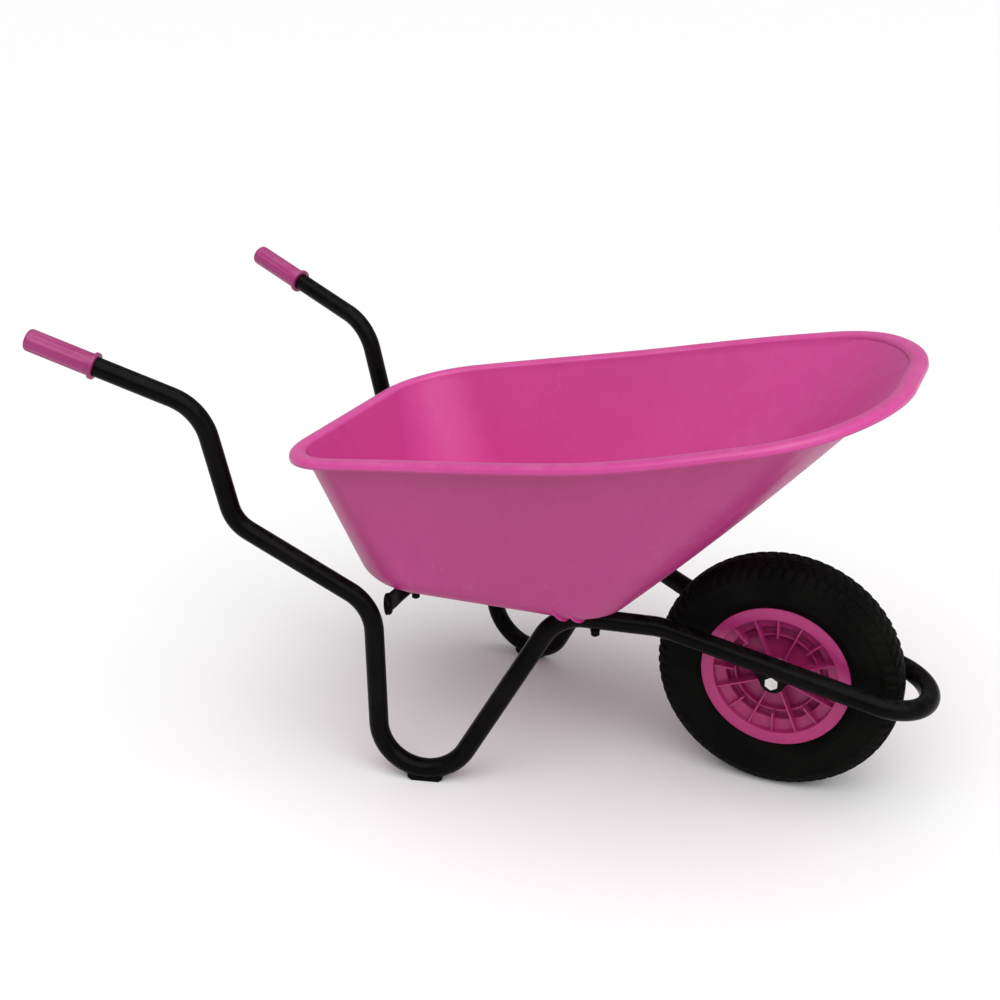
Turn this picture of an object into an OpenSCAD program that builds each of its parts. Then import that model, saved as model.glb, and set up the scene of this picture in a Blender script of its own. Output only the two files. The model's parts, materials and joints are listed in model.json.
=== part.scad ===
// Garden wheelbarrow: plastic tray on a bent-tube frame with one pneumatic wheel.
// +X points ahead to the wheel, +Y to the pusher's left, +Z up. The ground is z = 0.
// Distances "behind" are measured back from the axle, distances "out" from the centre plane.

/* [Frame tube] */
// Outside diameter of the main frame tube
tube_od = 32; // [27:1:38]
// Wall thickness of the frame tubes
tube_wall = 1.6; // [1.2:0.1:3]
// Bend radius of the frame tube at its ordinary bends, on the centreline
bend_r = 62; // [50:1:72]
// Bend radius of the upper handle bend
upper_bend_r = 88; // [60:1:100]
// Bend radius at the top of each leg
leg_top_bend_r = 78; // [60:1:90]
// Bend radius at the bottom of each leg
foot_bend_r = 78; // [64:1:92]
// Outside diameter of the crossbar under the rear of the tray
crossbar_od = 28; // [22:1:34]

/* [Handles] */
// How far the grip ends are behind the axle
grip_end_behind = 1133; // [950:1:1300]
// How far each grip end is out from the centre plane
grip_end_out = 330; // [280:1:380]
// Height of the grip ends
grip_end_h = 711; // [640:1:850]
// How far the upper handle bend is behind the axle
upper_bend_behind = 867; // [840:1:900]
// How far the upper handle bend is out
upper_bend_out = 267; // [250:1:300]
// Height of the upper handle bend
upper_bend_h = 609; // [570:1:640]
// How far the lower handle bend is behind the axle
lower_bend_behind = 826; // [800:1:850]
// How far the lower handle bend is out
lower_bend_out = 264; // [245:1:290]
// Height of the lower handle bend
lower_bend_h = 424; // [395:1:450]

/* [Legs] */
// How far the top of each leg is behind the axle
leg_top_behind = 609; // [590:1:630]
// How far the top of each leg is out
leg_top_out = 217; // [205:1:230]
// Height of the leg top bend
leg_top_h = 294; // [280:1:310]
// How far the corner that rounds into the foot is behind the axle
foot_corner_behind = 584; // [560:1:610]
// How far the corner that rounds into the foot is out
foot_corner_out = 263; // [230:1:280]
// How far the front bend of each leg is behind the axle
leg_front_behind = 320; // [300:1:345]
// How far the front bend of each leg is out
leg_front_out = 148; // [135:1:160]
// Length of the wear shoe under each foot
shoe_len = 58; // [40:1:80]
// Thickness of the wear shoe under the tube
shoe_t = 3; // [2:0.5:6]

/* [Wheel guard loop] */
// Half of the distance between the two tubes beside the wheel
loop_out = 74; // [70:1:84]
// How far ahead of the axle the loop's centreline reaches
loop_ahead = 232; // [225:1:270]
// How far behind the axle the tubes turn parallel
loop_kink_behind = 174; // [165:1:185]
// Height of the loop's centreline above the axle
loop_above_axle = 41.5; // [34:0.5:46]
// Fall of the loop towards the front, in degrees
loop_fall = 11.3; // [9:0.1:13]
// Length of loop tube pushed into each side tube
spigot_len = 30; // [20:1:34]

/* [Wheel] */
// Outside diameter of the tyre
tyre_od = 390; // [340:1:400]
// Width of the tyre
tyre_w = 86; // [76:1:92]
// Outside diameter of the rim flange
rim_od = 238; // [225:1:244]
// Width over the rim flanges
rim_w = 62; // [54:1:68]
// Diameter of the seat for the tyre bead
bead_seat_d = 203; // [198:1:206]
// Thickness of the ribs in the rim
rib_t = 3; // [2:0.5:4]
// Ribs that run from hub to flange
long_ribs = 8; // [5:1:10]
// Axle bolt diameter
axle_d = 12; // [10:1:16]
// Width of the hub
hub_w = 76; // [70:1:80]
// Wall of the hub bush
bush_wall = 2.5; // [2:0.5:4]

/* [Tray] */
// Length of the tray along its rim
tray_len = 956; // [880:1:1040]
// Width over the rim at the rear corners
tray_rear_w = 524; // [480:1:560]
// Width over the rim at its widest place
tray_wide_w = 682; // [640:1:760]
// Width over the rim at the shoulders, where it turns in to the nose
tray_shoulder_w = 600; // [560:1:620]
// Width over the rim at the nose
tray_nose_w = 292; // [250:1:320]
// How far the rear of the floor is behind the axle
floor_rear_behind = 691; // [670:1:710]
// How far the front of the floor is behind the axle
floor_front_behind = 203; // [190:1:215]
// How far the rear rim is behind the axle
tray_rear_behind = 770; // [735:1:775]
// Height of the rear rim
tray_rear_h = 532; // [505:1:560]
// Height of the rim at the nose
tray_nose_h = 702; // [660:1:740]
// Wall thickness of the tray
tray_wall = 3.5; // [2.5:0.5:5]
// Width of the rolled rim
lip_w = 28; // [20:1:34]
// Depth of the rolled rim
lip_h = 13; // [9:1:18]
// Width of the floor at the rear, where the walls leave the floor's rounding
floor_rear_w = 440; // [400:1:460]
// Width of the floor at the front, where the walls leave the floor's rounding
floor_front_w = 404; // [370:1:420]
// Radius where the floor turns up into the walls
floor_r = 45; // [30:1:60]

/* [Grips and fasteners] */
// Outside diameter of the grips
grip_od = 36.5; // [32:0.5:46]
// Length of the grips
grip_len = 116; // [90:1:140]
// Outside diameter of the collar at the inner end of each grip
collar_od = 44; // [40:1:54]
// Diameter of the tray bolts
tray_bolt_d = 8; // [6:1:10]

/* [Hidden] */

$fn = 64;
pink = "#c93a8e";
black = "#1b1b1d";
zinc = "#c4c6c8";

fit_gap = 0.05;          // between pieces of one body that seat on a curved face
run_gap = 0.05;          // radial running clearance of the axle
slip_gap = 0.15;         // radial clearance of tubes and tyre pushed together by hand
hole_gap = 0.4;          // radial clearance of a bolt in its hole
run_in = 1;              // how far each straight length runs into a bend, inside the bend's wall
slimmer = 0.05;          // how much less the radius of a straight length is than a bend's
tube_r = tube_od / 2;
axle_h = tyre_od / 2;
axle_r = axle_d / 2;

// vectors and bends
function unit(v) = v / norm(v);
function turn(a, b, c) = acos(unit(b - a) * unit(c - b));
function cut_back(a, b, c, r) = r * tan(turn(a, b, c) / 2);
function bend_centre(a, b, c, r) =
    b + unit(unit(c - b) - unit(b - a)) * r / cos(turn(a, b, c) / 2);
function bend_normal(a, b, c) = unit(cross(b - a, c - b));
// highest (s = 1) or lowest (s = -1) point of the full circle that a bend belongs to
function bend_extreme(a, b, c, r, s) =
    let (n = bend_normal(a, b, c), up = [0, 0, s])
    bend_centre(a, b, c, r) + r * unit(up - (up * n) * n);

// maps local X, Y and Z to the directions ex, ey and ez, with the origin at p
module frame_at(p, ex, ey, ez) {
    multmatrix([[ex.x, ey.x, ez.x, p.x], [ex.y, ey.y, ez.y, p.y], [ex.z, ey.z, ez.z, p.z],
        [0, 0, 0, 1]]) children();
}

// a rod or tube from p to q
module straight(p, q, r, bore = 0) {
    ez = unit(q - p);
    ex = unit(cross(abs(ez.z) < 0.9 ? [0, 0, 1] : [1, 0, 0], ez));
    frame_at(p, ex, cross(ez, ex), ez) difference() {
        cylinder(r = r, h = norm(q - p));
        if (bore > 0) translate([0, 0, -1]) cylinder(r = bore, h = norm(q - p) + 2);
    }
}

// part of a ring in local XY, from local X towards local Y
module arc(centre, ex, ey, bend, angle, r, bore = 0) {
    frame_at(centre, ex, ey, cross(ex, ey))
        rotate_extrude(angle = angle, $fn = 144) translate([bend, 0]) difference() {
            circle(r);
            if (bore > 0) circle(bore);
        }
}

// a rod or tube along corner points, rounded at each inner corner
module bent(points, radii, r, bore = 0) {
    last = len(points) - 1;
    cuts = [for (i = [0:last]) i == 0 || i == last ? 0
        : cut_back(points[i - 1], points[i], points[i + 1], radii[i])];
    for (i = [0:last - 1]) {
        dir = unit(points[i + 1] - points[i]);
        from = points[i] + dir * (i == 0 ? 0 : cuts[i] - run_in);
        to = points[i + 1] - dir * (i + 1 == last ? 0 : cuts[i + 1] - run_in);
        straight(from, to, r - slimmer, bore > 0 ? bore + slimmer : 0);
    }
    for (i = [1:last - 1]) {
        a = points[i - 1];
        b = points[i];
        c = points[i + 1];
        centre = bend_centre(a, b, c, radii[i]);
        ex = unit(b - unit(b - a) * cuts[i] - centre);
        arc(centre, ex, cross(bend_normal(a, b, c), ex), radii[i], turn(a, b, c), r, bore);
    }
}

// direction of the handle towards its end
handle_dir = unit([upper_bend_behind - grip_end_behind, grip_end_out - upper_bend_out,
    grip_end_h - upper_bend_h]);

// the object's middle is at x = 0, so the axle is this far ahead of it
axle_x = (grip_end_behind + grip_od / 2 * sqrt(1 - pow(handle_dir.x, 2)) - loop_ahead - tube_r) / 2;
function behind(distance) = axle_x - distance;

// the loop lies in one plane that falls towards the front
function loop_point(ahead, out) =
    [axle_x + ahead, out, axle_h + loop_above_axle - ahead * tan(loop_fall)];
leg_front = loop_point(-leg_front_behind, leg_front_out);
loop_kink = loop_point(-loop_kink_behind, loop_out);
ahead_dir = [cos(loop_fall), 0, -sin(loop_fall)];
nose_centre = loop_point(loop_ahead, 0) - loop_out * ahead_dir;
nose_start = nose_centre + [0, loop_out, 0];

// corner points of the left side tube
grip_end = [behind(grip_end_behind), grip_end_out, grip_end_h];
upper_bend = [behind(upper_bend_behind), upper_bend_out, upper_bend_h];
lower_bend = [behind(lower_bend_behind), lower_bend_out, lower_bend_h];
leg_top = [behind(leg_top_behind), leg_top_out, leg_top_h];
grip_cap_t = 4;
tube_end = grip_end - handle_dir * (grip_cap_t + slip_gap);

// the foot corner lies below ground, as deep as puts the shoe's underside on it
function foot_corner(z) = [behind(foot_corner_behind), foot_corner_out, z];
function foot_error(z) =
    bend_extreme(leg_top, foot_corner(z), leg_front, foot_bend_r, -1).z - tube_r - shoe_t;
function foot_depth(z, step, tries) =
    tries == 0 ? z
    : foot_depth(z - foot_error(z) * step / (foot_error(z + step) - foot_error(z)), step / 10, tries - 1);
foot = foot_corner(foot_depth(-170, 10, 4));
foot_low = bend_extreme(leg_top, foot, leg_front, foot_bend_r, -1);

// the side tube ends ahead of its front bend, where the loop's spigot enters it
loop_dir = unit(loop_kink - leg_front);
front_cut = cut_back(foot, leg_front, loop_kink, bend_r);
tube_joint = leg_front + loop_dir * (front_cut + spigot_len + 3);
side_points = [tube_end, upper_bend, lower_bend, leg_top, foot, leg_front, tube_joint];
side_radii = [0, upper_bend_r, bend_r, leg_top_bend_r, foot_bend_r, bend_r, 0];

// the tray floor rests on the front bends and on the crossbar
floor_z = bend_extreme(foot, leg_front, loop_kink, bend_r, 1).z + tube_r;
crossbar_z = floor_z - crossbar_od / 2;
crossbar_ahead = 19;     // how far the crossbar is ahead of the legs' top corners
crossbar_x = behind(leg_top_behind) + crossbar_ahead;

// tray bolts: two through the crossbar, two through side tube and spigot
bolt_r = tray_bolt_d / 2;
front_bolt = leg_front + loop_dir * (front_cut + 3 + spigot_len / 2);
rear_bolt_out = 105;
rear_bolt = [crossbar_x, rear_bolt_out, crossbar_z];
tray_bolt_places = [for (s = [1, -1], p = [front_bolt, rear_bolt]) [p.x, s * p.y, p.z]];
washer_t = 1.6;
tray_washer_r = tray_bolt_d * 1.5;
nut_washer_r = tray_bolt_d;
nut_washer_z = min(front_bolt.z - tube_r / cos(loop_fall), crossbar_z - crossbar_od / 2)
    - nut_washer_r * tan(loop_fall);
tray_nut_h = tray_bolt_d;

// wheel stack along the axle
bush_r = axle_r + run_gap + bush_wall;
bush_flange_t = 1.5;
axle_washer_t = 2;
axle_play = 0.3;
bracket_t = 4;
bracket_in = hub_w / 2 + bush_flange_t + axle_washer_t + axle_play;
bracket_out = bracket_in + bracket_t;
bolt_head_t = axle_d * 0.65;
bolt_af = axle_d * 1.6;
nut_t = axle_d * 0.9;

module both_sides() {
    children();
    mirror([0, 1, 0]) children();
}

/* frame tubes */

module tray_bolt_hole(place) {
    translate([place.x, place.y, place.z - tube_od]) cylinder(r = bolt_r + hole_gap, h = 2 * tube_od);
}

module side_tube() {
    color(black) difference() {
        bent(side_points, side_radii, tube_r, tube_r - tube_wall);
        tray_bolt_hole(front_bolt);
    }
}

module left_side_tube() {
    side_tube();
}

module right_side_tube() {
    mirror([0, 1, 0]) side_tube();
}

module front_loop_tube() {
    spigot_r = tube_r - tube_wall - slip_gap;
    color(black) difference() {
        union() {
            arc(nose_centre, [0, 1, 0], ahead_dir, loop_out, 180, tube_r, tube_r - tube_wall);
            both_sides() bent([tube_joint, loop_kink, nose_start + run_in * ahead_dir],
                [0, bend_r, 0], tube_r, tube_r - tube_wall);
            both_sides() straight(tube_joint - loop_dir * spigot_len, tube_joint + loop_dir * 4,
                spigot_r, spigot_r - tube_wall);
            both_sides() straight(tube_joint + loop_dir * 0.5, tube_joint + loop_dir * 6,
                tube_r - tube_wall / 2, spigot_r - tube_wall);
        }
        both_sides() tray_bolt_hole(front_bolt);
    }
}

// tube, pressed flat at each end and coped to the side tubes
module rear_crossbar() {
    half = leg_top_out;
    flat_len = 42;
    taper_len = 30;          // from round to flat
    flat_t = 9;
    flat_from = half - flat_len;
    round_to = flat_from - taper_len;
    color(black) difference() {
        translate([crossbar_x, 0, crossbar_z]) difference() {
            rotate([90, 0, 0]) cylinder(d = crossbar_od, h = 2 * half, center = true);
            rotate([90, 0, 0]) cylinder(d = crossbar_od - 2 * tube_wall, h = 2 * round_to, center = true);
            both_sides() for (s = [0, 1]) mirror([s, 0, 0])
                linear_extrude(2 * crossbar_od, center = true)
                    polygon([[crossbar_od / 2 + 1, round_to], [flat_t / 2, flat_from],
                        [flat_t / 2, half + 1], [crossbar_od, half + 1], [crossbar_od, round_to]]);
        }
        both_sides() bent([lower_bend, leg_top, foot], [0, leg_top_bend_r, 0], tube_r + fit_gap);
        both_sides() tray_bolt_hole(rear_bolt);
    }
}

// sleeve with a closed end and a collar, pushed on to the handle
module grip() {
    ez = -handle_dir;
    ex = unit(cross([0, 0, 1], ez));
    collar_t = 6;
    color(pink) frame_at(grip_end, ex, cross(ez, ex), ez) difference() {
        union() {
            cylinder(d = grip_od, h = grip_len);
            translate([0, 0, grip_len - collar_t]) cylinder(d = collar_od, h = collar_t);
        }
        translate([0, 0, grip_cap_t]) cylinder(r = tube_r + fit_gap, h = grip_len);
    }
}

module left_grip() {
    grip();
}

module right_grip() {
    mirror([0, 1, 0]) grip();
}

// flat-bottomed block, hollowed on top to the tube's bend
module foot_shoe() {
    shoe_w = tube_od * 0.72;
    shoe_h = shoe_t + 9;     // the block comes up beside the tube's underside
    chamfer = 7;
    along = unit([leg_front.x - leg_top.x, leg_front.y - leg_top.y, 0]);
    side = cross([0, 0, 1], along);
    half = shoe_len / 2;
    color(black) difference() {
        frame_at([foot_low.x, foot_low.y, 0], along, side, [0, 0, 1])
            rotate([90, 0, 0]) linear_extrude(shoe_w, center = true)
                polygon([[-half + chamfer, 0], [half - chamfer, 0], [half, shoe_h / 2], [half, shoe_h],
                    [-half, shoe_h], [-half, shoe_h / 2]]);
        bent([leg_top, foot, leg_front], [0, foot_bend_r, 0], tube_r + fit_gap);
    }
}

module left_foot_shoe() {
    foot_shoe();
}

module right_foot_shoe() {
    mirror([0, 1, 0]) foot_shoe();
}

/* axle */

// an ear for the axle with a strip that joins it to the tube beside the wheel
module axle_bracket() {
    lobe_r = axle_r + 14;
    waist = [lobe_r * 0.97, -lobe_r * 0.24];
    ear_half = 44;           // half the ear's length where it meets the strip
    strip_len = 140;
    ear_top = loop_above_axle - tube_r * 0.82;
    fall = ear_half * tan(loop_fall);
    color(black) difference() {
        union() {
            translate([axle_x, bracket_out, axle_h]) rotate([90, 0, 0]) linear_extrude(bracket_t) {
                circle(lobe_r);
                polygon([[-waist.x, waist.y], waist, [ear_half, ear_top - fall],
                    [-ear_half, ear_top + fall]]);
            }
            translate([axle_x, bracket_in, axle_h + ear_top]) rotate([0, loop_fall, 0])
                translate([-strip_len / 2, 0, -bracket_t])
                    cube([strip_len, loop_out - bracket_in, bracket_t]);
        }
        straight(loop_kink, nose_start, tube_r + fit_gap);
        translate([axle_x, 0, axle_h]) rotate([-90, 0, 0]) cylinder(r = axle_r + hole_gap, h = loop_out);
    }
}

module left_axle_bracket() {
    axle_bracket();
}

module right_axle_bracket() {
    mirror([0, 1, 0]) axle_bracket();
}

// local Z runs along the axle towards +Y, with the origin at the wheel's centre
module on_axle() {
    translate([axle_x, 0, axle_h]) rotate([-90, 0, 0]) children();
}

module axle_bolt() {
    tip = bracket_out + nut_t + 3;
    color(zinc) on_axle() {
        translate([0, 0, -bracket_out - 1]) cylinder(r = axle_r, h = bracket_out + tip + 1);
        translate([0, 0, -bracket_out - bolt_head_t]) rotate(30)
            cylinder(d = bolt_af / cos(30), h = bolt_head_t, $fn = 6);
    }
}

module axle_nut() {
    color(zinc) on_axle() translate([0, 0, bracket_out]) difference() {
        cylinder(d = bolt_af / cos(30), h = nut_t, $fn = 6);
        translate([0, 0, -1]) cylinder(r = axle_r + fit_gap, h = nut_t + 2);
    }
}

module axle_washers() {
    color(zinc) on_axle() for (s = [0, 1]) mirror([0, 0, s])
        translate([0, 0, hub_w / 2 + bush_flange_t + axle_play]) difference() {
            cylinder(r = axle_d, h = axle_washer_t);
            translate([0, 0, -1]) cylinder(r = axle_r + fit_gap, h = axle_washer_t + 2);
        }
}

/* wheel */

flange_t = 3;
barrel_t = 4;
well_r = bead_seat_d / 2 - 16;
web_t = 5;
hub_r = bush_r + 7.5;
step_r = rim_od * 0.275;
step_half = rim_w * 0.24;
face_r = rim_od * 0.415;

// half section of the rim as [radius, distance along the axle], from the hub outwards
module rim_section() {
    seat = bead_seat_d / 2;
    half = rim_w / 2;
    well_half = half - 17;
    polygon([[bush_r + fit_gap, 0], [bush_r + fit_gap, hub_w / 2], [hub_r, hub_w / 2],
        [hub_r + 2, web_t / 2 + 2], [hub_r + 4, web_t / 2],
        [step_r, web_t / 2], [step_r, step_half], [step_r + 3, step_half],
        [step_r + 3, web_t / 2], [well_r - barrel_t, web_t / 2], [well_r - barrel_t, well_half + 2],
        [face_r, half - 12], [face_r, half], [rim_od / 2, half], [rim_od / 2, half - flange_t],
        [seat, half - flange_t], [seat, half - 11], [well_r, well_half], [well_r, 0]]);
}

valve_turn = 90 / long_ribs;
valve_off = web_t / 2 + 9;

module wheel_rim() {
    pitch = 360 / long_ribs;
    rib_half = rim_w / 2 - 3;
    color(pink) on_axle() difference() {
        union() {
            for (s = [0, 1]) mirror([0, 0, s]) rotate_extrude() rim_section();
            for (i = [0:long_ribs - 1]) rotate(i * pitch) {
                rotate(pitch / 2) translate([hub_r - 1, -rib_t / 2, -rib_half])
                    cube([face_r + 1 - hub_r, rib_t, 2 * rib_half]);
                translate([step_r + 1, -rib_t / 2, -rib_half])
                    cube([face_r - step_r - 1, rib_t, 2 * rib_half]);
            }
        }
        rotate(valve_turn) translate([0, 0, valve_off]) rotate([0, 90, 0])
            cylinder(r = valve_r + slip_gap, h = rim_od / 2);
    }
}

module hub_bush() {
    reach = hub_w * 0.3;
    color("#e8e6e0") on_axle() difference() {
        union() {
            translate([0, 0, hub_w / 2 - reach]) cylinder(r = bush_r, h = reach);
            translate([0, 0, hub_w / 2]) cylinder(r = bush_r + 5, h = bush_flange_t);
        }
        cylinder(r = axle_r + run_gap, h = hub_w);
    }
}

module left_hub_bush() {
    hub_bush();
}

module right_hub_bush() {
    mirror([0, 1, 0]) hub_bush();
}

// the tyre's outline is a fuller oval about its widest ring, cut off at the beads
tyre_steps = 28;
section_r = (rim_od / 2 + tyre_od / 2) / 2 - 4;
casing_t = 6;
bead_t = 9;
bead_half = rim_w / 2 - flange_t - slip_gap;
function full(v, power) = sign(v) * pow(abs(v), power);
function tyre_point(a, inset) =
    [section_r + (tyre_od / 2 - section_r - inset) * full(sin(a), 0.8),
        (tyre_w / 2 - inset) * full(cos(a), 0.8)];
// from one rim flange over the tread to the other
function tyre_arc(inset, low) =
    [for (i = [0:tyre_steps]) tyre_point(-low + (180 + 2 * low) * i / tyre_steps, inset)];

module tyre() {
    seat = bead_seat_d / 2 + slip_gap;
    clear_of_flange = rim_od / 2 + slip_gap;
    color(black) on_axle() rotate_extrude($fn = 144) difference() {
        polygon(concat([[seat, bead_half], [clear_of_flange, bead_half]], tyre_arc(0, 38),
            [[clear_of_flange, -bead_half], [seat, -bead_half]]));
        polygon(concat([[seat - 1, bead_half - bead_t]], tyre_arc(casing_t, 30),
            [[seat - 1, -bead_half + bead_t]]));
    }
}

// closed ring inside the tyre
module inner_tube() {
    tube_t = 2.5;
    gap = 0.5;
    low = bead_seat_d / 2 + 5;
    outer_half = bead_half - bead_t - 2;
    inner_half = outer_half - 2;
    color("#2a2a2c") on_axle() difference() {
        rotate_extrude($fn = 144) difference() {
            polygon(concat([[low, outer_half]], tyre_arc(casing_t + gap, 20), [[low, -outer_half]]));
            polygon(concat([[low + tube_t, inner_half]], tyre_arc(casing_t + gap + tube_t, 18),
                [[low + tube_t, -inner_half]]));
        }
        rotate(valve_turn) translate([0, 0, valve_off]) rotate([0, 90, 0])
            cylinder(r = valve_r, h = low + tube_t / 2);
    }
}

valve_r = 5.2;
valve_neck_r = 3.2;
valve_top = bead_seat_d / 2 + 5;
valve_tip = step_r - 7;

// local Z points from the tyre to the hub along the valve
module on_valve(from_r) {
    on_axle() rotate(valve_turn) translate([from_r, 0, valve_off]) rotate([0, -90, 0]) children();
}

module valve_stem() {
    color("#3a3a3c") on_valve(valve_top) {
        cylinder(r = valve_r, h = valve_top - valve_tip - 14);
        cylinder(r = valve_neck_r, h = valve_top - valve_tip - 2);
    }
}

module valve_cap() {
    color("#101012") on_valve(valve_tip + 13) difference() {
        cylinder(r = 4.6, h = 14);
        translate([0, 0, -1]) cylinder(r = valve_neck_r + fit_gap, h = 12.1);
    }
}

/* tray */

// corners of the left half of an outline, each [x, y, radius], from rear to front
rim_slope = asin((tray_nose_h - tray_rear_h) / tray_len);
widest_at = tray_len * 0.638;
shoulder_at = tray_len * 0.893;
rim_corners = [[0, tray_rear_w / 2, 140], [widest_at, tray_wide_w / 2, 700],
    [shoulder_at, tray_shoulder_w / 2, 185], [tray_len, tray_nose_w / 2, 320]];
floor_corners = [[behind(floor_rear_behind), floor_rear_w / 2, 140],
    [behind(floor_front_behind), floor_front_w / 2, 90]];

function whole(half) = concat(half, [for (i = [len(half) - 1:-1:0]) [half[i].x, -half[i].y, half[i].z]]);
function flat(p) = [p.x, p.y, 0];
arc_step = 6;

// closed outline with rounded corners, drawn in by the inset
function outline(half, inset) = let (c = whole(half), n = len(c)) [
    for (i = [0:n - 1])
        let (a = flat(c[(i + n - 1) % n]), b = flat(c[i]), d = flat(c[(i + 1) % n]),
            r = c[i].z,
            centre = bend_centre(a, b, d, r),
            t = turn(a, b, d),
            from = unit(b - unit(b - a) * r * tan(t / 2) - centre),
            steps = max(2, round(t / arc_step)),
            start = atan2(from.y, from.x))
        for (k = [0:steps])
            [centre.x, centre.y] + (r - inset) * [cos(start - t * k / steps), sin(start - t * k / steps)]];

// local XY is the rim's plane, with X forward from the middle of the rear rim
module on_rim() {
    translate([behind(tray_rear_behind), 0, tray_rear_h]) rotate([0, -rim_slope, 0]) children();
}

module rim_slab(inset, low, high) {
    on_rim() translate([0, 0, low]) linear_extrude(high - low) polygon(outline(rim_corners, inset));
}

// the body that the tray's wall encloses, drawn in by the inset
module tray_block(inset, top) {
    skin = 0.02;
    hull() {
        rim_slab(lip_w - tray_wall + inset, top - 1, top);
        for (a = [0:15:90]) translate([0, 0, floor_z + inset + (floor_r - inset) * (1 - sin(a))])
            linear_extrude(skin) polygon(outline(floor_corners, inset + (floor_r - inset) * (1 - cos(a))));
    }
}

// ribs that steady the tray on the frame at the front of the floor
module saddle_ribs() {
    rib_gap = 24;
    rib_h = 48;              // above the floor's underside
    proud = 7;
    inner_y = 110;
    reach = tray_wide_w / 2 - inner_y;
    for (i = [0, 1]) intersection() {
        tray_block(-proud, 0);
        both_sides() translate([front_bolt.x - rib_gap + i * rib_gap + 2, inner_y, floor_z - proud])
            cube([tray_wall, reach, rib_h + proud]);
    }
}

module tray() {
    boss_r = tray_bolt_d * 1.875;
    color(pink) difference() {
        union() {
            tray_block(0, 0);
            rim_slab(0, -lip_h, 0);
            saddle_ribs();
            for (s = [1, -1]) translate([front_bolt.x, s * front_bolt.y, front_bolt.z])
                cylinder(r = boss_r, h = floor_z - front_bolt.z + 1);
        }
        tray_block(tray_wall, 1);
        // hollow under the rolled rim, outside the wall
        difference() {
            rim_slab(tray_wall, -lip_h - 1, -tray_wall);
            tray_block(0, 0);
        }
        both_sides() bent([leg_top, foot, leg_front, loop_kink], [0, foot_bend_r, bend_r, 0], tube_r + 0.1);
        for (p = tray_bolt_places) tray_bolt_hole([p.x, p.y, floor_z]);
    }
}

/* tray fasteners */

module at_tray_bolts(z) {
    for (p = tray_bolt_places) translate([p.x, p.y, z]) children();
}

module tray_bolts() {
    head_z = floor_z + tray_wall + washer_t;
    tip_z = nut_washer_z - washer_t - tray_nut_h - 2;
    color(black) {
        at_tray_bolts(tip_z) cylinder(r = bolt_r, h = head_z - tip_z);
        at_tray_bolts(head_z) cylinder(r1 = tray_bolt_d, r2 = tray_bolt_d * 0.6, h = tray_bolt_d * 0.55);
    }
}

module tray_washers() {
    color(black) at_tray_bolts(floor_z + tray_wall) difference() {
        cylinder(r = tray_washer_r, h = washer_t);
        translate([0, 0, -1]) cylinder(r = bolt_r + fit_gap, h = washer_t + 2);
    }
}

module tray_nut_washers() {
    color(black) at_tray_bolts(nut_washer_z - washer_t) difference() {
        cylinder(r = nut_washer_r, h = washer_t);
        translate([0, 0, -1]) cylinder(r = bolt_r + fit_gap, h = washer_t + 2);
    }
}

module tray_nuts() {
    color(black) at_tray_bolts(nut_washer_z - washer_t - tray_nut_h) difference() {
        cylinder(d = tray_bolt_d * 1.625 / cos(30), h = tray_nut_h, $fn = 6);
        translate([0, 0, -1]) cylinder(r = bolt_r + fit_gap, h = tray_nut_h + 2);
    }
}

tray();
left_side_tube();
right_side_tube();
front_loop_tube();
rear_crossbar();
left_grip();
right_grip();
left_foot_shoe();
right_foot_shoe();
left_axle_bracket();
right_axle_bracket();
axle_bolt();
axle_nut();
axle_washers();
wheel_rim();
left_hub_bush();
right_hub_bush();
tyre();
inner_tube();
valve_stem();
valve_cap();
tray_bolts();
tray_washers();
tray_nut_washers();
tray_nuts();
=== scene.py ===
import json
import bpy
import numpy as np
from mathutils import Matrix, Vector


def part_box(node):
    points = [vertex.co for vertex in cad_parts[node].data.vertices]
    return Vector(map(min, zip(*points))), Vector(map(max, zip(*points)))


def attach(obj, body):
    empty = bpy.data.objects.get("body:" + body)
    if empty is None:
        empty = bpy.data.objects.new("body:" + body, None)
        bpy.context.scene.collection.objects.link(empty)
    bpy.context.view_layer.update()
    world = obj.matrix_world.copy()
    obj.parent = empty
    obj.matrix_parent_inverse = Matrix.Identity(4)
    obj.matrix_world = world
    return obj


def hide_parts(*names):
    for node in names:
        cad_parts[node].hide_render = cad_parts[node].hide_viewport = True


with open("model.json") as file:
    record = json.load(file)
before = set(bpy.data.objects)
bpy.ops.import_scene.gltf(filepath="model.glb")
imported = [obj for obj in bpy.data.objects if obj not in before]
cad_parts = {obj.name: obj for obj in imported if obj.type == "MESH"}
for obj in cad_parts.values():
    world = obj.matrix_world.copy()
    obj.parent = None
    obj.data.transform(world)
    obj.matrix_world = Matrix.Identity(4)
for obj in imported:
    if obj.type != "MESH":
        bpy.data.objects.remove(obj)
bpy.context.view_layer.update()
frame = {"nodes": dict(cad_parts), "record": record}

mm = 0.001


def unit(v):
    v = np.asarray(v, float)
    return v / np.maximum(np.linalg.norm(v, axis=-1, keepdims=True), 1e-12)


def smooth(low, high, x):
    # 0 below low, 1 above high, 3t^2 - 2t^3 between
    t = np.clip((x - low) / (high - low), 0, 1)
    return t * t * (3 - 2 * t)


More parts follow.
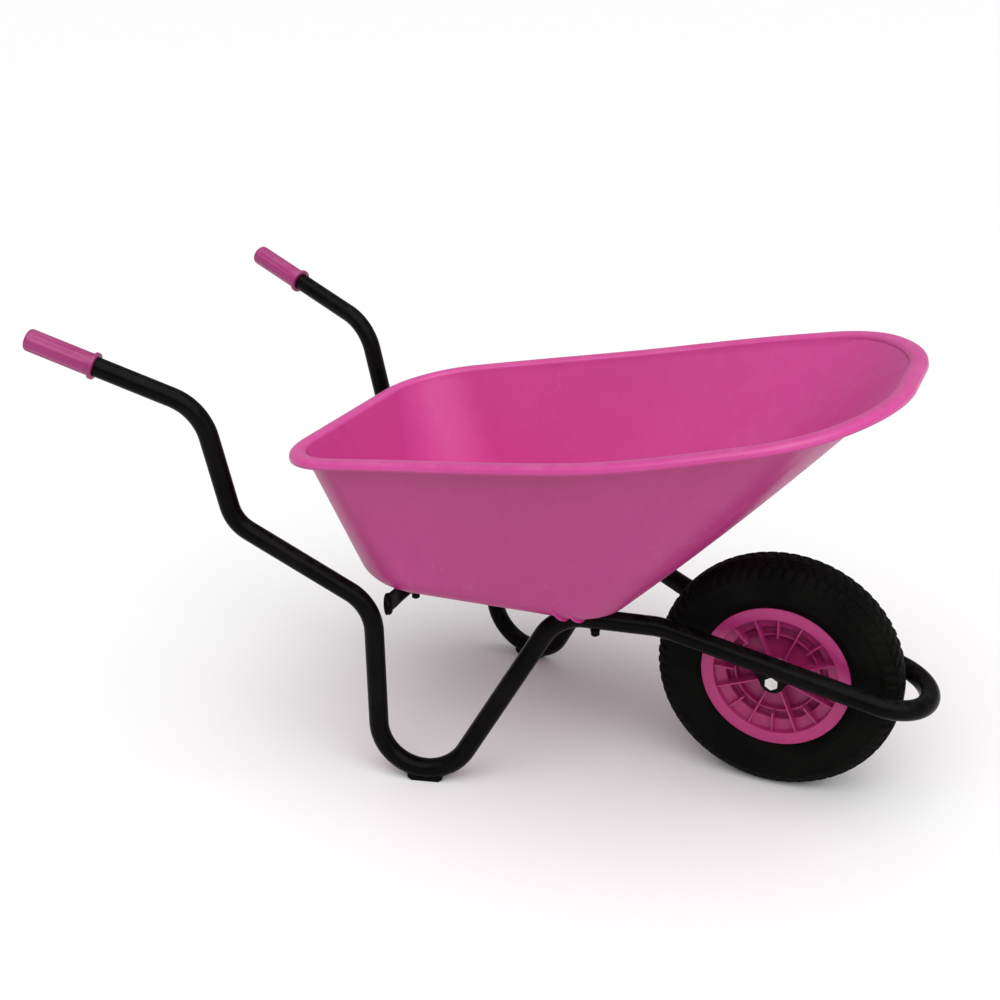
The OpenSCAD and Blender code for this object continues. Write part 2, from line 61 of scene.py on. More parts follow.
class Surfaces:
    # gathers surfaces worked out on grids, and turns them into one mesh

    def __init__(self):
        self.points, self.quads, self.tris, self.count = [], [], [], 0

    def grid(self, p, aroundRows=False, aroundCols=True, flip=False):
        # the quad at (i, j) joins rows i and i + 1 and columns j and j + 1 of the points p[row, column]
        rows, cols = p.shape[:2]
        rowSteps, colSteps = np.arange(rows - (not aroundRows)), np.arange(cols - (not aroundCols))
        i, j = np.meshgrid(rowSteps, colSteps, indexing="ij")
        below, beside = (i + 1) % rows * cols, (j + 1) % cols
        q = np.stack([i * cols + j, i * cols + beside, below + beside, below + j], -1).reshape(-1, 4)
        self.quads.append(self.count + (q[:, ::-1] if flip else q))
        self.points.append(p.reshape(-1, 3))
        first, self.count = self.count, self.count + rows * cols
        return first, rows, cols

    def lid(self, first, cols, middle, flip=False):
        # a fan from the ring of vertices that starts at first to its middle point
        j = np.arange(cols)
        t = np.stack([first + j, first + (j + 1) % cols, np.full(cols, self.count)], -1)
        self.tris.append(t[:, ::-1] if flip else t)
        self.points.append(np.asarray(middle, float).reshape(1, 3))
        self.count += 1

    def rod(self, p, flip=False):
        # a grid of closed rings with a lid on the first and the last of them
        first, rows, cols = self.grid(p, flip=flip)
        self.lid(first, cols, p[0].mean(0), not flip)
        self.lid(first + (rows - 1) * cols, cols, p[-1].mean(0), flip)

    def piece(self, name, body, slot, material, stands=(), sharp=40):
        mesh = bpy.data.meshes.new(name)
        faces = [f for part in self.quads + self.tris for f in part.tolist()]
        mesh.from_pydata(np.concatenate(self.points).tolist(), [], faces)
        mesh.update()
        mesh.shade_smooth()
        mesh.set_sharp_from_angle(angle=np.radians(sharp))
        piece = bpy.data.objects.new(name, mesh)
        bpy.context.scene.collection.objects.link(piece)
        piece.data.materials.append(material)
        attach(piece, body)
        if stands:
            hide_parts(*stands)
        print(name, len(faces), "faces")
        return piece


def ringsAlong(path, tangent, reference, sideR, upR=None, steps=40):
    # ring i is path[i] + sideR cos(a) side + upR sin(a) up,
    # where side = tangent x reference and up = side x tangent
    upR = sideR if upR is None else upR
    side = unit(np.cross(tangent, reference))
    up = np.cross(side, tangent)
    a = 2 * np.pi * np.arange(steps) / steps
    sideR, upR = np.broadcast_to(sideR, len(path)), np.broadcast_to(upR, len(path))
    return (path[:, None] + (sideR[:, None] * np.cos(a))[..., None] * side[:, None]
            + (upR[:, None] * np.sin(a))[..., None] * up[:, None])


def roundedPath(corners, radii, step=4 * mm):
    # straight lengths joined by arcs: at a corner b between unit directions d and e, with radius r and
    # turn t, the arc is c + r (sin s d - cos s n) for s from 0 to t. There n = unit(e - (e . d) d) points
    # into the bend, and c = b - r tan(t/2) d + r n
    corners = np.asarray(corners, float)
    runs = np.diff(corners, axis=0)
    dirs = unit(runs)
    points, tangents, start = [], [], corners[0]
    for i, r in enumerate(list(radii) + [0]):
        d = dirs[i]
        if i == len(dirs) - 1:
            end = corners[-1]
        else:
            turn = np.arccos(np.clip(d @ dirs[i + 1], -1, 1))
            end = corners[i + 1] - d * r * np.tan(turn / 2)
        n = max(2, int(np.linalg.norm(end - start) / step))
        s = np.linspace(0, 1, n, endpoint=False)[:, None]
        points.append(start + s * (end - start))
        tangents.append(np.repeat(d[None], n, 0))
        if i == len(dirs) - 1:
            points.append(end[None])
            tangents.append(d[None])
            break
        inward = unit(dirs[i + 1] - (dirs[i + 1] @ d) * d)
        centre = end + r * inward
        n = max(4, int(r * turn / step))
        s = np.linspace(0, turn, n, endpoint=False)[:, None]
        points.append(centre + r * (-np.cos(s) * inward + np.sin(s) * d))
        tangents.append(np.cos(s) * d + np.sin(s) * inward)
        start = centre + r * (-np.cos(turn) * inward + np.sin(turn) * d)
    return np.concatenate(points), np.concatenate(tangents)


def mirrored(p):
    return p * np.array([1, -1, 1])


class Field:
    # a socket of a material's node tree that can be used in sums and products

    def __init__(self, tree, socket):
        self.tree, self.socket = tree, socket

    def math(self, kind, other=None, clamp=False):
        values = {0: self} if other is None else {0: self, 1: other}
        return node(self.tree, "ShaderNodeMath", {"operation": kind, "use_clamp": clamp}, values)

    def __add__(self, other): return self.math("ADD", other)
    def __radd__(self, other): return self.math("ADD", other)
    def __mul__(self, other): return self.math("MULTIPLY", other)
    def __rmul__(self, other): return self.math("MULTIPLY", other)
    def __sub__(self, other): return self.math("SUBTRACT", other)
    def __rsub__(self, other): return (self * -1.0) + other
    def above(self, low, high):
        # 0 below low, 1 above high
        settings = {"interpolation_type": "SMOOTHSTEP", "clamp": True}
        values = {"Value": self, "From Min": low, "From Max": high, "To Min": 0.0, "To Max": 1.0}
        return node(self.tree, "ShaderNodeMapRange", settings, values)


def node(tree, kind, settings, values, output=0):
    # a node of that type: its settings first, then each input's value or link
    n = tree.nodes.new(kind)
    for key, value in settings.items():
        if key == "stops":
            ramp = n.color_ramp
            while len(ramp.elements) < len(value):
                ramp.elements.new(0.5)
            for element, (place, colour) in zip(ramp.elements, value):
                element.position, element.color = place, colour
        else:
            setattr(n, key, value)
    for key, value in values.items():
        if isinstance(value, Field):
            tree.links.new(value.socket, n.inputs[key])
        else:
            n.inputs[key].default_value = value
    return Field(tree, n.outputs[output])


class Finish:
    # a material with one Principled shader, and the patterns that feed it

    def __init__(self, name, **fixed):
        self.material = bpy.data.materials.new(name)
        self.material.use_nodes = True
        self.tree = self.material.node_tree
        self.tree.nodes.clear()
        self.shader = self.tree.nodes.new("ShaderNodeBsdfPrincipled")
        out = self.tree.nodes.new("ShaderNodeOutputMaterial")
        self.tree.links.new(self.shader.outputs[0], out.inputs[0])
        for key, value in fixed.items():
            self.shader.inputs[key.replace("_", " ")].default_value = value
        self.place = node(self.tree, "ShaderNodeTexCoord", {}, {}, "Object")

    def at(self, scale=(1, 1, 1), turn=(0, 0, 0)):
        values = {"Vector": self.place, "Scale": scale, "Rotation": turn}
        return node(self.tree, "ShaderNodeMapping", {}, values)

    def noise(self, scale, detail=3, rough=0.5, at=None):
        values = {"Vector": at or self.place, "Scale": scale, "Detail": detail, "Roughness": rough}
        return node(self.tree, "ShaderNodeTexNoise", {}, values)

    def cells(self, scale, kind="F1", output="Distance", at=None):
        values = {"Vector": at or self.place, "Scale": scale}
        return node(self.tree, "ShaderNodeTexVoronoi", {"feature": kind}, values, output)

    def blend(self, share, a, b, kind="MIX"):
        # colours or coloured sockets a and b, mixed by share
        settings = {"data_type": "RGBA", "blend_type": kind}
        return node(self.tree, "ShaderNodeMix", settings, {0: share, 6: a, 7: b}, 2)

    def facing(self):
        # 1 where the surface looks up, 0 where it looks down
        n = node(self.tree, "ShaderNodeNewGeometry", {}, {}, "Normal")
        return node(self.tree, "ShaderNodeSeparateXYZ", {}, {0: n}, "Z") * 0.5 + 0.5

    def feed(self, **fields):
        for key, value in fields.items():
            self.tree.links.new(value.socket, self.shader.inputs[key.replace("_", " ")])
        return self

    def bump(self, height, distance, strength=1.0):
        # distance in metres
        values = {"Height": height, "Distance": distance, "Strength": strength}
        return self.feed(Normal=node(self.tree, "ShaderNodeBump", {}, values))


def rgba(r, g, b):
    return (r, g, b, 1.0)


def mouldedPink(name, base, deep, flow=(1, 1, 1), specks=1.0, rough=0.38, under=(1, 1, 1)):
    # moulded plastic: clouding along the flow, a fine grain, scuffs, dust on what looks up and a few dark
    # specks. What looks down gets painted shade: its colour is multiplied by under
    f = Finish(name, Specular_IOR_Level=0.42, Coat_Roughness=0.3)
    cloud = f.noise(3.2, 3, 0.55, f.at(flow))
    streak = f.noise(11.0, 4, 0.6, f.at(tuple(6 * v for v in flow)))
    colour = f.blend((cloud * 0.7 + streak * 0.3).above(0.32, 0.7), rgba(*base), rgba(*deep))
    # painted shade: faces that look down are darkened by multiplying their colour with under
    colour = f.blend(1.0 - f.facing().above(0.38, 0.52), colour, rgba(*under), "MULTIPLY")
    scuff = f.noise(38.0, 5, 0.7).above(0.56, 0.78) * f.noise(6.0, 2).above(0.45, 0.7)
    colour = f.blend(scuff * 0.22, colour, rgba(0.72, 0.32, 0.52))
    dust = f.facing().above(0.6, 1.0) * f.noise(24.0, 5, 0.65).above(0.4, 0.8)
    colour = f.blend(dust * 0.10, colour, rgba(0.62, 0.50, 0.52))
    fleck = (0.045 - f.cells(55.0)).above(0.0, 0.02) * f.noise(9.0, 1).above(0.55, 0.6)
    colour = f.blend(fleck * 0.75 * specks, colour, rgba(0.10, 0.01, 0.04))
    grain = f.noise(900.0, 2, 0.5)
    f.feed(Base_Color=colour, Roughness=scuff * 0.16 + dust * 0.12 + streak * 0.10 + (rough - 0.05))
    f.bump(grain * 0.25 + f.noise(60.0, 3) * 0.5 + scuff * 0.4, 0.00035, 0.5)
    return f.material


def blackPaint():
    # gloss powder coat: orange peel, dull handled patches, dust on top, tiny chips to grey steel
    f = Finish("blackPaint", Specular_IOR_Level=0.05)
    wear = f.noise(9.0, 4, 0.6)
    fine = f.noise(70.0, 4, 0.65)
    colour = f.blend(wear.above(0.35, 0.7), rgba(0.0016, 0.0013, 0.0015), rgba(0.0042, 0.0036, 0.0040))
    dust = f.facing().above(0.55, 1.0) * fine.above(0.38, 0.8)
    colour = f.blend(dust * 0.05, colour, rgba(0.16, 0.15, 0.14))
    chip = (0.05 - f.cells(120.0)).above(0.0, 0.015) * f.noise(13.0, 2).above(0.60, 0.66)
    colour = f.blend(chip * 0.8, colour, rgba(0.22, 0.21, 0.20))
    f.feed(Base_Color=colour, Roughness=wear * 0.14 + dust * 0.2 + fine * 0.10 + 0.16, Metallic=chip * 0.6)
    f.bump(f.noise(420.0, 2) * 0.5 + fine * 0.35 - chip * 0.6, 0.0003, 0.4)
    return f.material


def tyreRubber():
    # matt rubber, slightly green, with grey dust held in its pores and a brown bloom
    f = Finish("tyreRubber", Specular_IOR_Level=0.03)
    patch = f.noise(14.0, 5, 0.65)
    pores = f.noise(260.0, 4, 0.7)
    colour = f.blend(patch.above(0.3, 0.72), rgba(0.0022, 0.0024, 0.0022), rgba(0.0050, 0.0048, 0.0043))
    dust = pores.above(0.52, 0.8) * f.noise(5.0, 3).above(0.4, 0.75)
    colour = f.blend(dust * 0.25, colour, rgba(0.028, 0.027, 0.024))
    f.feed(Base_Color=colour, Roughness=patch * 0.16 + dust * 0.15 + 0.52)
    f.bump(pores * 0.6 + f.noise(900.0, 2) * 0.4, 0.0004, 0.55)
    return f.material


def zincPlate():
    # bright zinc: fine drawn lines, a little straw-coloured passivation and dull handling marks
    f = Finish("zincPlate", Metallic=0.9, Specular_IOR_Level=0.5)
    lines = f.noise(90.0, 3, 0.6, f.at((1, 1, 22)))
    bloom = f.noise(45.0, 4, 0.6)
    colour = f.blend(bloom.above(0.35, 0.7), rgba(0.74, 0.75, 0.76), rgba(0.60, 0.58, 0.52))
    f.feed(Base_Color=colour, Roughness=lines * 0.2 + bloom * 0.2 + 0.16)
    f.bump(lines * 0.6 + bloom * 0.4, 0.0002, 0.35)
    return f.material


def plainMoulding(name, low, high, rough=0.5):
    # small nylon, butyl and rubber pieces: mottled colour with a fine grain
    f = Finish(name, Specular_IOR_Level=0.4)
    mottle = f.noise(80.0, 4, 0.6)
    colour = f.blend(mottle.above(0.3, 0.7), rgba(*low), rgba(*high))
    f.feed(Base_Color=colour, Roughness=mottle * 0.2 + (rough - 0.1))
    f.bump(f.noise(700.0, 3), 0.00025, 0.4)
    return f.material


# under is painted shade: it darkens the tray's down-facing outside walls
trayPink = mouldedPink("trayPink", (0.60, 0.060, 0.295), (0.53, 0.047, 0.25), (0.6, 0.6, 0.25),
                        under=(0.75, 0.62, 0.69))
rimPink = mouldedPink("rimPink", (0.44, 0.029, 0.178), (0.38, 0.021, 0.135), (1.5, 1.5, 1.5), 0.4, 0.36)
gripPink = mouldedPink("gripPink", (0.335, 0.023, 0.15), (0.265, 0.016, 0.115), (2.0, 2.0, 2.0), 0.6, 0.42)
framePaint = blackPaint()
tyreSkin = tyreRubber()
zinc = zincPlate()
nylon = plainMoulding("bushNylon", (0.62, 0.60, 0.54), (0.74, 0.72, 0.66), 0.42)
butyl = plainMoulding("tubeButyl", (0.014, 0.014, 0.015), (0.028, 0.028, 0.028), 0.55)
valveBlack = plainMoulding("valveBlack", (0.012, 0.012, 0.012), (0.022, 0.022, 0.022), 0.48)
print("materials made")

tray = {
    "rearX": -323.751 * mm, "rearZ": 532 * mm, "noseZ": 702 * mm, "length": 956 * mm,
    "rimCorners": [(0, 262, 140), (609.928, 341, 700), (853.708, 300, 185), (956, 146, 320)],
    "floorCorners": [(-244.751, 220, 140), (243.249, 202, 90)],
    "floorZ": 309.96 * mm, "floorRadius": 45 * mm, "wall": 3.5 * mm,
    "lipWidth": 28 * mm, "lipDepth": 13 * mm,
    "bow": 6 * mm,                 # how far the front wall bows outwards
    "sag": 7.5 * mm,               # how far the rim dips between the rear and the shoulders
    "ribProud": 6.5 * mm, "ribThick": 3.5 * mm,
}
columns = 480


def outlineAt(corners, place):
    # half an outline: straight and arc by turns from the middle of the rear to the middle of the front.
    # place runs from 0 to 2n + 1, a whole number for each straight or arc.
    # Returns points and outward normals
    n = len(corners)
    c = [np.array(p[:2]) * mm for p in corners]
    r = [p[2] * mm for p in corners]
    chain = [np.array([c[0][0], -c[0][1]])] + c + [np.array([c[-1][0], -c[-1][1]])]
    dirs = [unit(chain[i + 1] - chain[i]) for i in range(n + 1)]
    points, normals = np.zeros((len(place), 2)), np.zeros((len(place), 2))
    ends = [np.array([c[0][0], 0.0])]
    arcs = []
    for i in range(n):
        d, e = dirs[i], dirs[i + 1]
        turn = np.arccos(np.clip(d @ e, -1, 1))
        start = c[i] - d * r[i] * np.tan(turn / 2)
        inward = unit(e - (e @ d) * d)
        arcs.append((start + r[i] * inward, -inward, d, turn, r[i]))
        ends += [start, c[i] + e * r[i] * np.tan(turn / 2)]
    ends.append(np.array([c[-1][0], 0.0]))
    for k in range(2 * n + 1):
        here = (place >= k) & (place <= k + 1)
        s = (place[here] - k)[:, None]
        if k % 2 == 0:
            points[here] = ends[k] + s * (ends[k + 1] - ends[k])
            d = dirs[k // 2]
            normals[here] = np.array([-d[1], d[0]])
        else:
            centre, u, d, turn, radius = arcs[k // 2]
            out = np.cos(s * turn) * u + np.sin(s * turn) * d
            points[here], normals[here] = centre + radius * out, out
    return points, normals


def trayOutlines():
    # matched columns on the rim's and the floor's outlines, all the way round
    place = np.linspace(0, 9, 4001)
    rim, rimOut = outlineAt(tray["rimCorners"], place)
    length = np.concatenate([[0], np.cumsum(np.linalg.norm(np.diff(rim, axis=0), axis=1))])
    spread = np.interp(np.linspace(0, length[-1], columns // 2 + 1), length, place)
    match = np.interp(place, [0, 1, 2, 3, 4, 5, 6, 7, 8, 9], [0, 1, 2, 2.55, 2.8, 3.0, 3.45, 3.6, 4, 5])
    kernel = np.hanning(161)
    kernel /= kernel.sum()
    padded = np.concatenate([2 * match[0] - match[80:0:-1], match, 2 * match[-1] - match[-2:-82:-1]])
    match = np.interp(spread, place, np.convolve(padded, kernel, "valid"))
    half = []
    for corners, at in ((tray["rimCorners"], spread), (tray["floorCorners"], match)):
        p, out = outlineAt(corners, np.clip(at, 0, 2 * len(corners) + 1))
        back = slice(-2, 0, -1)
        half += [np.concatenate([p, p[back] * [1, -1]]), np.concatenate([out, out[back] * [1, -1]])]
    return half


def inSpace(flat, z):
    return np.concatenate([flat, np.broadcast_to(z, flat.shape[:-1])[..., None]], -1)


def traySurfaces():
    # section by section: floor arc of radius r about C, then a wall from its tangent point to the rim,
    # which bows outwards by bow 4 t (1 - t) at the front
    rim, rimOut, floor, floorOut = trayOutlines()
    slope = np.arcsin((tray["noseZ"] - tray["rearZ"]) / tray["length"])
    along, up = np.array([np.cos(slope), 0, np.sin(slope)]), np.array([-np.sin(slope), 0, np.cos(slope)])
    origin = np.array([tray["rearX"], 0, tray["rearZ"]])
    # the rim dips by sag sin^2(pi s), with s = (t / 0.92)^1.25 and t the share of its length
    share = (np.clip(rim[:, :1] / tray["length"], 0, 0.92) / 0.92) ** 1.25
    dip = tray["sag"] * np.sin(np.pi * share) ** 2
    onRim = lambda flat: origin + flat[:, :1] * along + flat[:, 1:] * np.array([0, 1, 0]) - dip * up
    rimDir = rimOut[:, :1] * along + rimOut[:, 1:] * np.array([0, 1, 0])
    wall, lip = tray["wall"], tray["lipWidth"]
    centre = inSpace(floor - floorOut * tray["floorRadius"], tray["floorZ"] + tray["floorRadius"])
    out3 = inSpace(floorOut, 0.0)
    down = np.array([0, 0, -1.0])
    edge = onRim(rim)

    def side(radius, top, rows=26, arcRows=12):
        # rows from the floor's tangent line up to the point top on the rim
        reach = top - centre
        wx, wz = (reach * out3).sum(-1), reach[:, 2]
        beta = np.arccos(np.clip(radius / np.hypot(wx, wz), -1, 1)) - np.arctan2(wz, wx)
        a = np.pi / 2 + (beta - np.pi / 2) * np.linspace(0, 1, arcRows)[:, None]
        arc = centre + radius * (np.cos(a)[..., None] * out3 + np.sin(a)[..., None] * down)
        t = np.linspace(0, 1, rows)[1:, None, None]
        wallRows = arc[-1] + t * (top - arc[-1])
        ahead = smooth(0.25, 0.8, floorOut[:, 0])
        bow = tray["bow"] * ahead[:, None] * 4 * t * (1 - t)
        outward = unit(np.cross(np.roll(top, -1, 0) - np.roll(top, 1, 0), top - arc[-1]))
        outward *= np.sign((outward * out3).sum(-1, keepdims=True))
        return np.concatenate([arc, wallRows + bow * outward])

    def lipPoint(o, k):
        # o outwards from the rim's outer edge (negative is inwards), k up from the rim's plane
        return edge + o * rimDir + k * up

    innerTop = lipPoint(-lip, -9 * mm)
    inner = side(tray["floorRadius"] - wall, innerTop)
    outer = side(tray["floorRadius"], lipPoint(-(lip - wall), -6 * mm))[:-1]
    # rolled rim: half of |o/a|^2.3 + |k/b|^2.3 = 1 over the top, then the same 3.5 mm further in
    def roll(a, b, mid, low, steps):
        s = np.linspace(np.pi, 0, steps)
        power = 2 / 2.3
        o = mid + a * np.sign(np.cos(s)) * np.abs(np.cos(s)) ** power
        k = low + b * np.sin(s) ** power
        return o, k
    oTop, kTop = roll(lip / 2, 9 * mm, -lip / 2, -9 * mm, 22)
    oIn, kIn = roll(lip / 2 - wall, 5.5 * mm, -lip / 2, -9 * mm, 14)
    hem = -tray["lipDepth"]
    # the hem's lower edge, with its corners taken off
    hemO = [0, -0.5 * mm, -1.2 * mm, -wall + 1.2 * mm, -wall + 0.5 * mm, -wall]
    hemK = [hem + 1.2 * mm, hem + 0.4 * mm, hem, hem, hem + 0.4 * mm, hem + 1.2 * mm]
    o = np.concatenate([oTop[1:], hemO, oIn[::-1][:-1]])
    k = np.concatenate([kTop[1:], hemK, kIn[::-1][:-1]])
    rolled = np.stack([lipPoint(a, b) for a, b in zip(o, k)])
    rows = np.concatenate([inner, rolled, outer[::-1]])
    floorMid = np.array([centre[:, 0].mean(), 0, 0])
    shrink = np.array([0.06, 0.2, 0.4, 0.6, 0.8])[:, None, None]
    towards = lambda ring: floorMid + [0, 0, ring[0, 2]] + shrink * (ring - floorMid - [0, 0, ring[0, 2]])
    rows = np.concatenate([towards(inner[0]), rows, towards(outer[0])[::-1]])
    return rows, outer


print("tray")
shell = Surfaces()
trayRows, trayOutside = traySurfaces()
shell.rod(trayRows)
# saddle ribs: strips on the outside of the tray, from under the floor up its side, with x = place - lean h at
# height h above the floor's underside
ribs = {"places": (150 * mm, 174 * mm), "lean": 0.62, "top": 44 * mm, "underEnd": 55 * mm}
for place in ribs["places"]:
    for s in (1, -1):
        nearSide = np.where(trayOutside[6, :, 1] * s > 60 * mm)[0]
        line = []
        for row in trayOutside:
            order = nearSide[np.argsort(row[nearSide, 0])]
            height = row[order, 2].mean() - tray["floorZ"]
            x = place - ribs["lean"] * height
            y, z = (np.interp(x, row[order, 0], row[order, k]) for k in (1, 2))
            line.append([x, y, z])
        line = np.array(line)
        line = line[line[:, 2] < tray["floorZ"] + ribs["top"]]
        under = line[0] + np.linspace(ribs["underEnd"], 4 * mm, 8)[:, None] * np.array([0, -s, 0])
        line = np.concatenate([under, line])
        run = unit(np.gradient(line, axis=0))
        out = unit(np.cross(run, [s, 0, 0.0]))
        out *= np.where((out * [0, s, -1]).sum(-1, keepdims=True) < 0, -1, 1)
        proud = tray["ribProud"] * (1 - smooth(0.55, 1.0, np.linspace(0, 1, len(line))))[:, None]
        half = np.array([tray["ribThick"] / 2, 0, 0])
        strip = np.stack([line - half - out * mm, line - half * 0.7 + out * proud,
                          line + half * 0.7 + out * proud, line + half - out * mm], 1)
        shell.rod(strip, flip=s < 0)
shell.piece("traySkin", "frame", "tray_plastic", trayPink, ["tray"], 35)

tubes = {
    "radius": 15.9 * mm,
    "side": [(-682.8, 329.1, 709.5), (-420.751, 267, 609), (-379.751, 264, 424), (-162.751, 217, 294),
             (-137.751, 263, -171.536), (126.249, 148, 300.442), (192.487, 114.428, 287.207)],
    "sideBends": [88, 62, 78, 78, 62],
    "loop": [(192.487, 114.428, 287.207), (272.249, 74, 271.269), (678.249, 74, 190.142),
             (678.249, -74, 190.142), (272.249, -74, 271.269), (192.487, -114.428, 287.207)],
    "loopBends": [62, 74, 74, 62],
}
print("frame tubes")
sidePath, sideRun = roundedPath(np.array(tubes["side"]) * mm, np.array(tubes["sideBends"]) * mm)
sideRings = ringsAlong(sidePath, sideRun, np.array([0, 1.0, 0]), tubes["radius"])
for name, turnOver in (("left", False), ("right", True)):
    tube = Surfaces()
    tube.rod(mirrored(sideRings) if turnOver else sideRings, flip=turnOver)
    tube.piece(name + "SideTube", "frame", "frame_paint", framePaint, [name + "_side_tube"])
loopPath, loopRun = roundedPath(np.array(tubes["loop"]) * mm, np.array(tubes["loopBends"]) * mm)
loopNormal = unit(np.array([0.19596, 0, 0.98061]))
tube = Surfaces()
tube.rod(ringsAlong(loopPath, loopRun, loopNormal, tubes["radius"]), flip=True)
tube.piece("frontLoopTube", "frame", "frame_paint", framePaint, ["front_loop_tube"])

crossbar = {
    "x": -143.751 * mm, "z": 295.96 * mm, "radius": 14 * mm, "roundTo": 145 * mm,
    "flatFrom": 176 * mm, "end": 208 * mm, "flatHalf": 4.5 * mm, "tallHalf": 17 * mm,
}
# round in the middle, pressed flat and tall at its ends: half thickness and half height change with |y|
y = np.linspace(-crossbar["end"], crossbar["end"], 121)
press = smooth(crossbar["roundTo"], crossbar["flatFrom"], np.abs(y))
thick = crossbar["radius"] + (crossbar["flatHalf"] - crossbar["radius"]) * press
tall = crossbar["radius"] + (crossbar["tallHalf"] - crossbar["radius"]) * press
drop = (crossbar["tallHalf"] - crossbar["radius"]) * press
barPath = np.stack([np.full_like(y, crossbar["x"]), y, crossbar["z"] - drop], -1)
tube = Surfaces()
tube.rod(ringsAlong(barPath, np.tile([0, 1.0, 0], (len(y), 1)), np.array([0, 0, 1.0]), thick, tall))
tube.piece("rearCrossbar", "frame", "frame_paint", framePaint, ["rear_crossbar"])

# weld beads: thin rods whose radius ripples, on the joins of the crossbar and of the axle brackets' strips
welds = {"radius": 2.6 * mm, "ripple": 0.22, "pitch": 2.6 * mm, "stripHalf": 69 * mm, "stripOut": 61.5 * mm,
         "stripDrop": 15.2 * mm}


def bead(surfaces, path):
    # radius(s) = R (1 + ripple cos(2 pi s / pitch)) at length s along the path, tapering off at both ends
    path = np.asarray(path)
    run = np.gradient(path, axis=0)
    s = np.concatenate([[0], np.cumsum(np.linalg.norm(np.diff(path, axis=0), axis=1))])
    r = welds["radius"] * (1 + welds["ripple"] * np.cos(2 * np.pi * s / welds["pitch"]))
    r = r * (0.25 + 0.75 * smooth(0, 4 * mm, s) * smooth(0, 4 * mm, s[-1] - s))
    reference = np.array([0.3, 0.2, 1.0]) if abs(unit(run[0])[2]) < 0.8 else np.array([1.0, 0.2, 0.1])
    surfaces.rod(ringsAlong(path, unit(run), reference, r, steps=10))


print("weld beads")
beads = Surfaces()
fall = unit(np.array(tubes["loop"][2]) - np.array(tubes["loop"][1]))
low, high = (np.array(v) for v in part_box("right_axle_bracket"))
overAxle = np.array([(low[0] + high[0]) / 2, 0, 0])
loopStart = np.array(tubes["loop"][1]) * mm
overAxle[2] = loopStart[2] + (overAxle[0] - loopStart[0]) * fall[2] / fall[0] - welds["stripDrop"]
t = np.linspace(-1, 1, 240)[:, None]
for s in (1, -1):
    line = overAxle + t * welds["stripHalf"] * fall + np.array([0, s * welds["stripOut"], 0])
    bead(beads, line)
    # around the pressed end of the crossbar, against the side tube
    a = np.linspace(0, 2 * np.pi, 180)[:, None]
    across, down = np.array([crossbar["flatHalf"] + 1 * mm, 0, 0]), np.array([0, 0, crossbar["tallHalf"]])
    middle = np.array([crossbar["x"], s * (crossbar["end"] - 8 * mm), crossbar["z"] - 3 * mm])
    bead(beads, middle + np.cos(a) * across + np.sin(a) * down)
beads.piece("weldBeads", "frame", "frame_paint", framePaint)

grips = {"end": (-686.751, 330, 711), "run": (-266, 63, 102), "radius": 18.25 * mm, "length": 116 * mm,
         "collar": 22 * mm, "flutes": 10, "fluteDepth": 0.9 * mm}


def gripRings():
    # radius(a, z) = R - depth (flute wave) between the ends, with a rounded closed end and a collar at
    # the mouth
    g = grips
    closedEnd = np.linspace(0, 1, 9)[1:] ** 2 * 5 * mm
    sleeveZ = np.linspace(7 * mm, g["length"] - 14 * mm, 40)
    fromMouth = np.array([12, 9, 7.5, 6.6, 6, 5.5, 4.6, 3, 1.4, 0.5, 0.0]) * mm
    z = np.concatenate([closedEnd, sleeveZ, g["length"] - fromMouth])
    a = 2 * np.pi * np.arange(80) / 80
    wave = np.clip(np.cos(g["flutes"] * a) * 1.6, -1, 1) * 0.5 + 0.5
    round5 = np.sqrt(np.clip(1 - (1 - np.clip(z / (5 * mm), 0, 1)) ** 2, 0, 1))
    base = g["radius"] - 4.2 * mm * (1 - round5)
    fluted = smooth(6 * mm, 12 * mm, z) * smooth(14 * mm, 22 * mm, g["length"] - z)
    collar = 1 - smooth(5.6 * mm, 7.0 * mm, g["length"] - z)
    edge = np.sqrt(np.clip(1 - (1 - np.clip((g["length"] - z) / (1.5 * mm), 0, 1)) ** 2, 0, 1))
    collarR = g["collar"] - 1.5 * mm * (1 - edge)
    r = base[:, None] - g["fluteDepth"] * fluted[:, None] * wave
    r = r + (collarR[:, None] - r) * collar[:, None]
    axis = unit(-np.array(g["run"], float))
    start = np.array(g["end"]) * mm
    side = unit(np.cross([0, 0, 1.0], axis))
    up = np.cross(axis, side)
    ring = np.cos(a)[:, None] * side + np.sin(a)[:, None] * up
    p = start + z[:, None, None] * axis + r[..., None] * ring
    mouth = start + g["length"] * axis + (tubes["radius"] + 0.3 * mm) * ring
    inside = start + (g["length"] - 8 * mm) * axis + (tubes["radius"] + 0.3 * mm) * ring
    return np.concatenate([p, mouth[None], inside[None]])


print("grips")
for name, turnOver in (("left", False), ("right", True)):
    sleeve = Surfaces()
    rings = gripRings()
    sleeve.rod(mirrored(rings) if turnOver else rings, flip=not turnOver)
    sleeve.piece(name + "Grip", "frame", "grip_plastic", gripPink, [name + "_grip"])

low, high = (np.array(v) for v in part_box("tyre"))
hub = (low + high) / 2
hub[2] = (high[0] - low[0]) / 2


def aboutAxle(r, w, a):
    # a point at radius r, distance w along the axle and angle a from ahead, upwards
    return hub + np.stack([r * np.cos(a), w, r * np.sin(a)], -1)


tyre = {
    "outer": 195 * mm, "middle": 153 * mm, "halfWidth": 43 * mm, "power": 0.74, "bead": 38, "casing": 6 * mm,
    "pitches": 66, "grooveDepth": 2.2 * mm, "edge": 0.16,
}


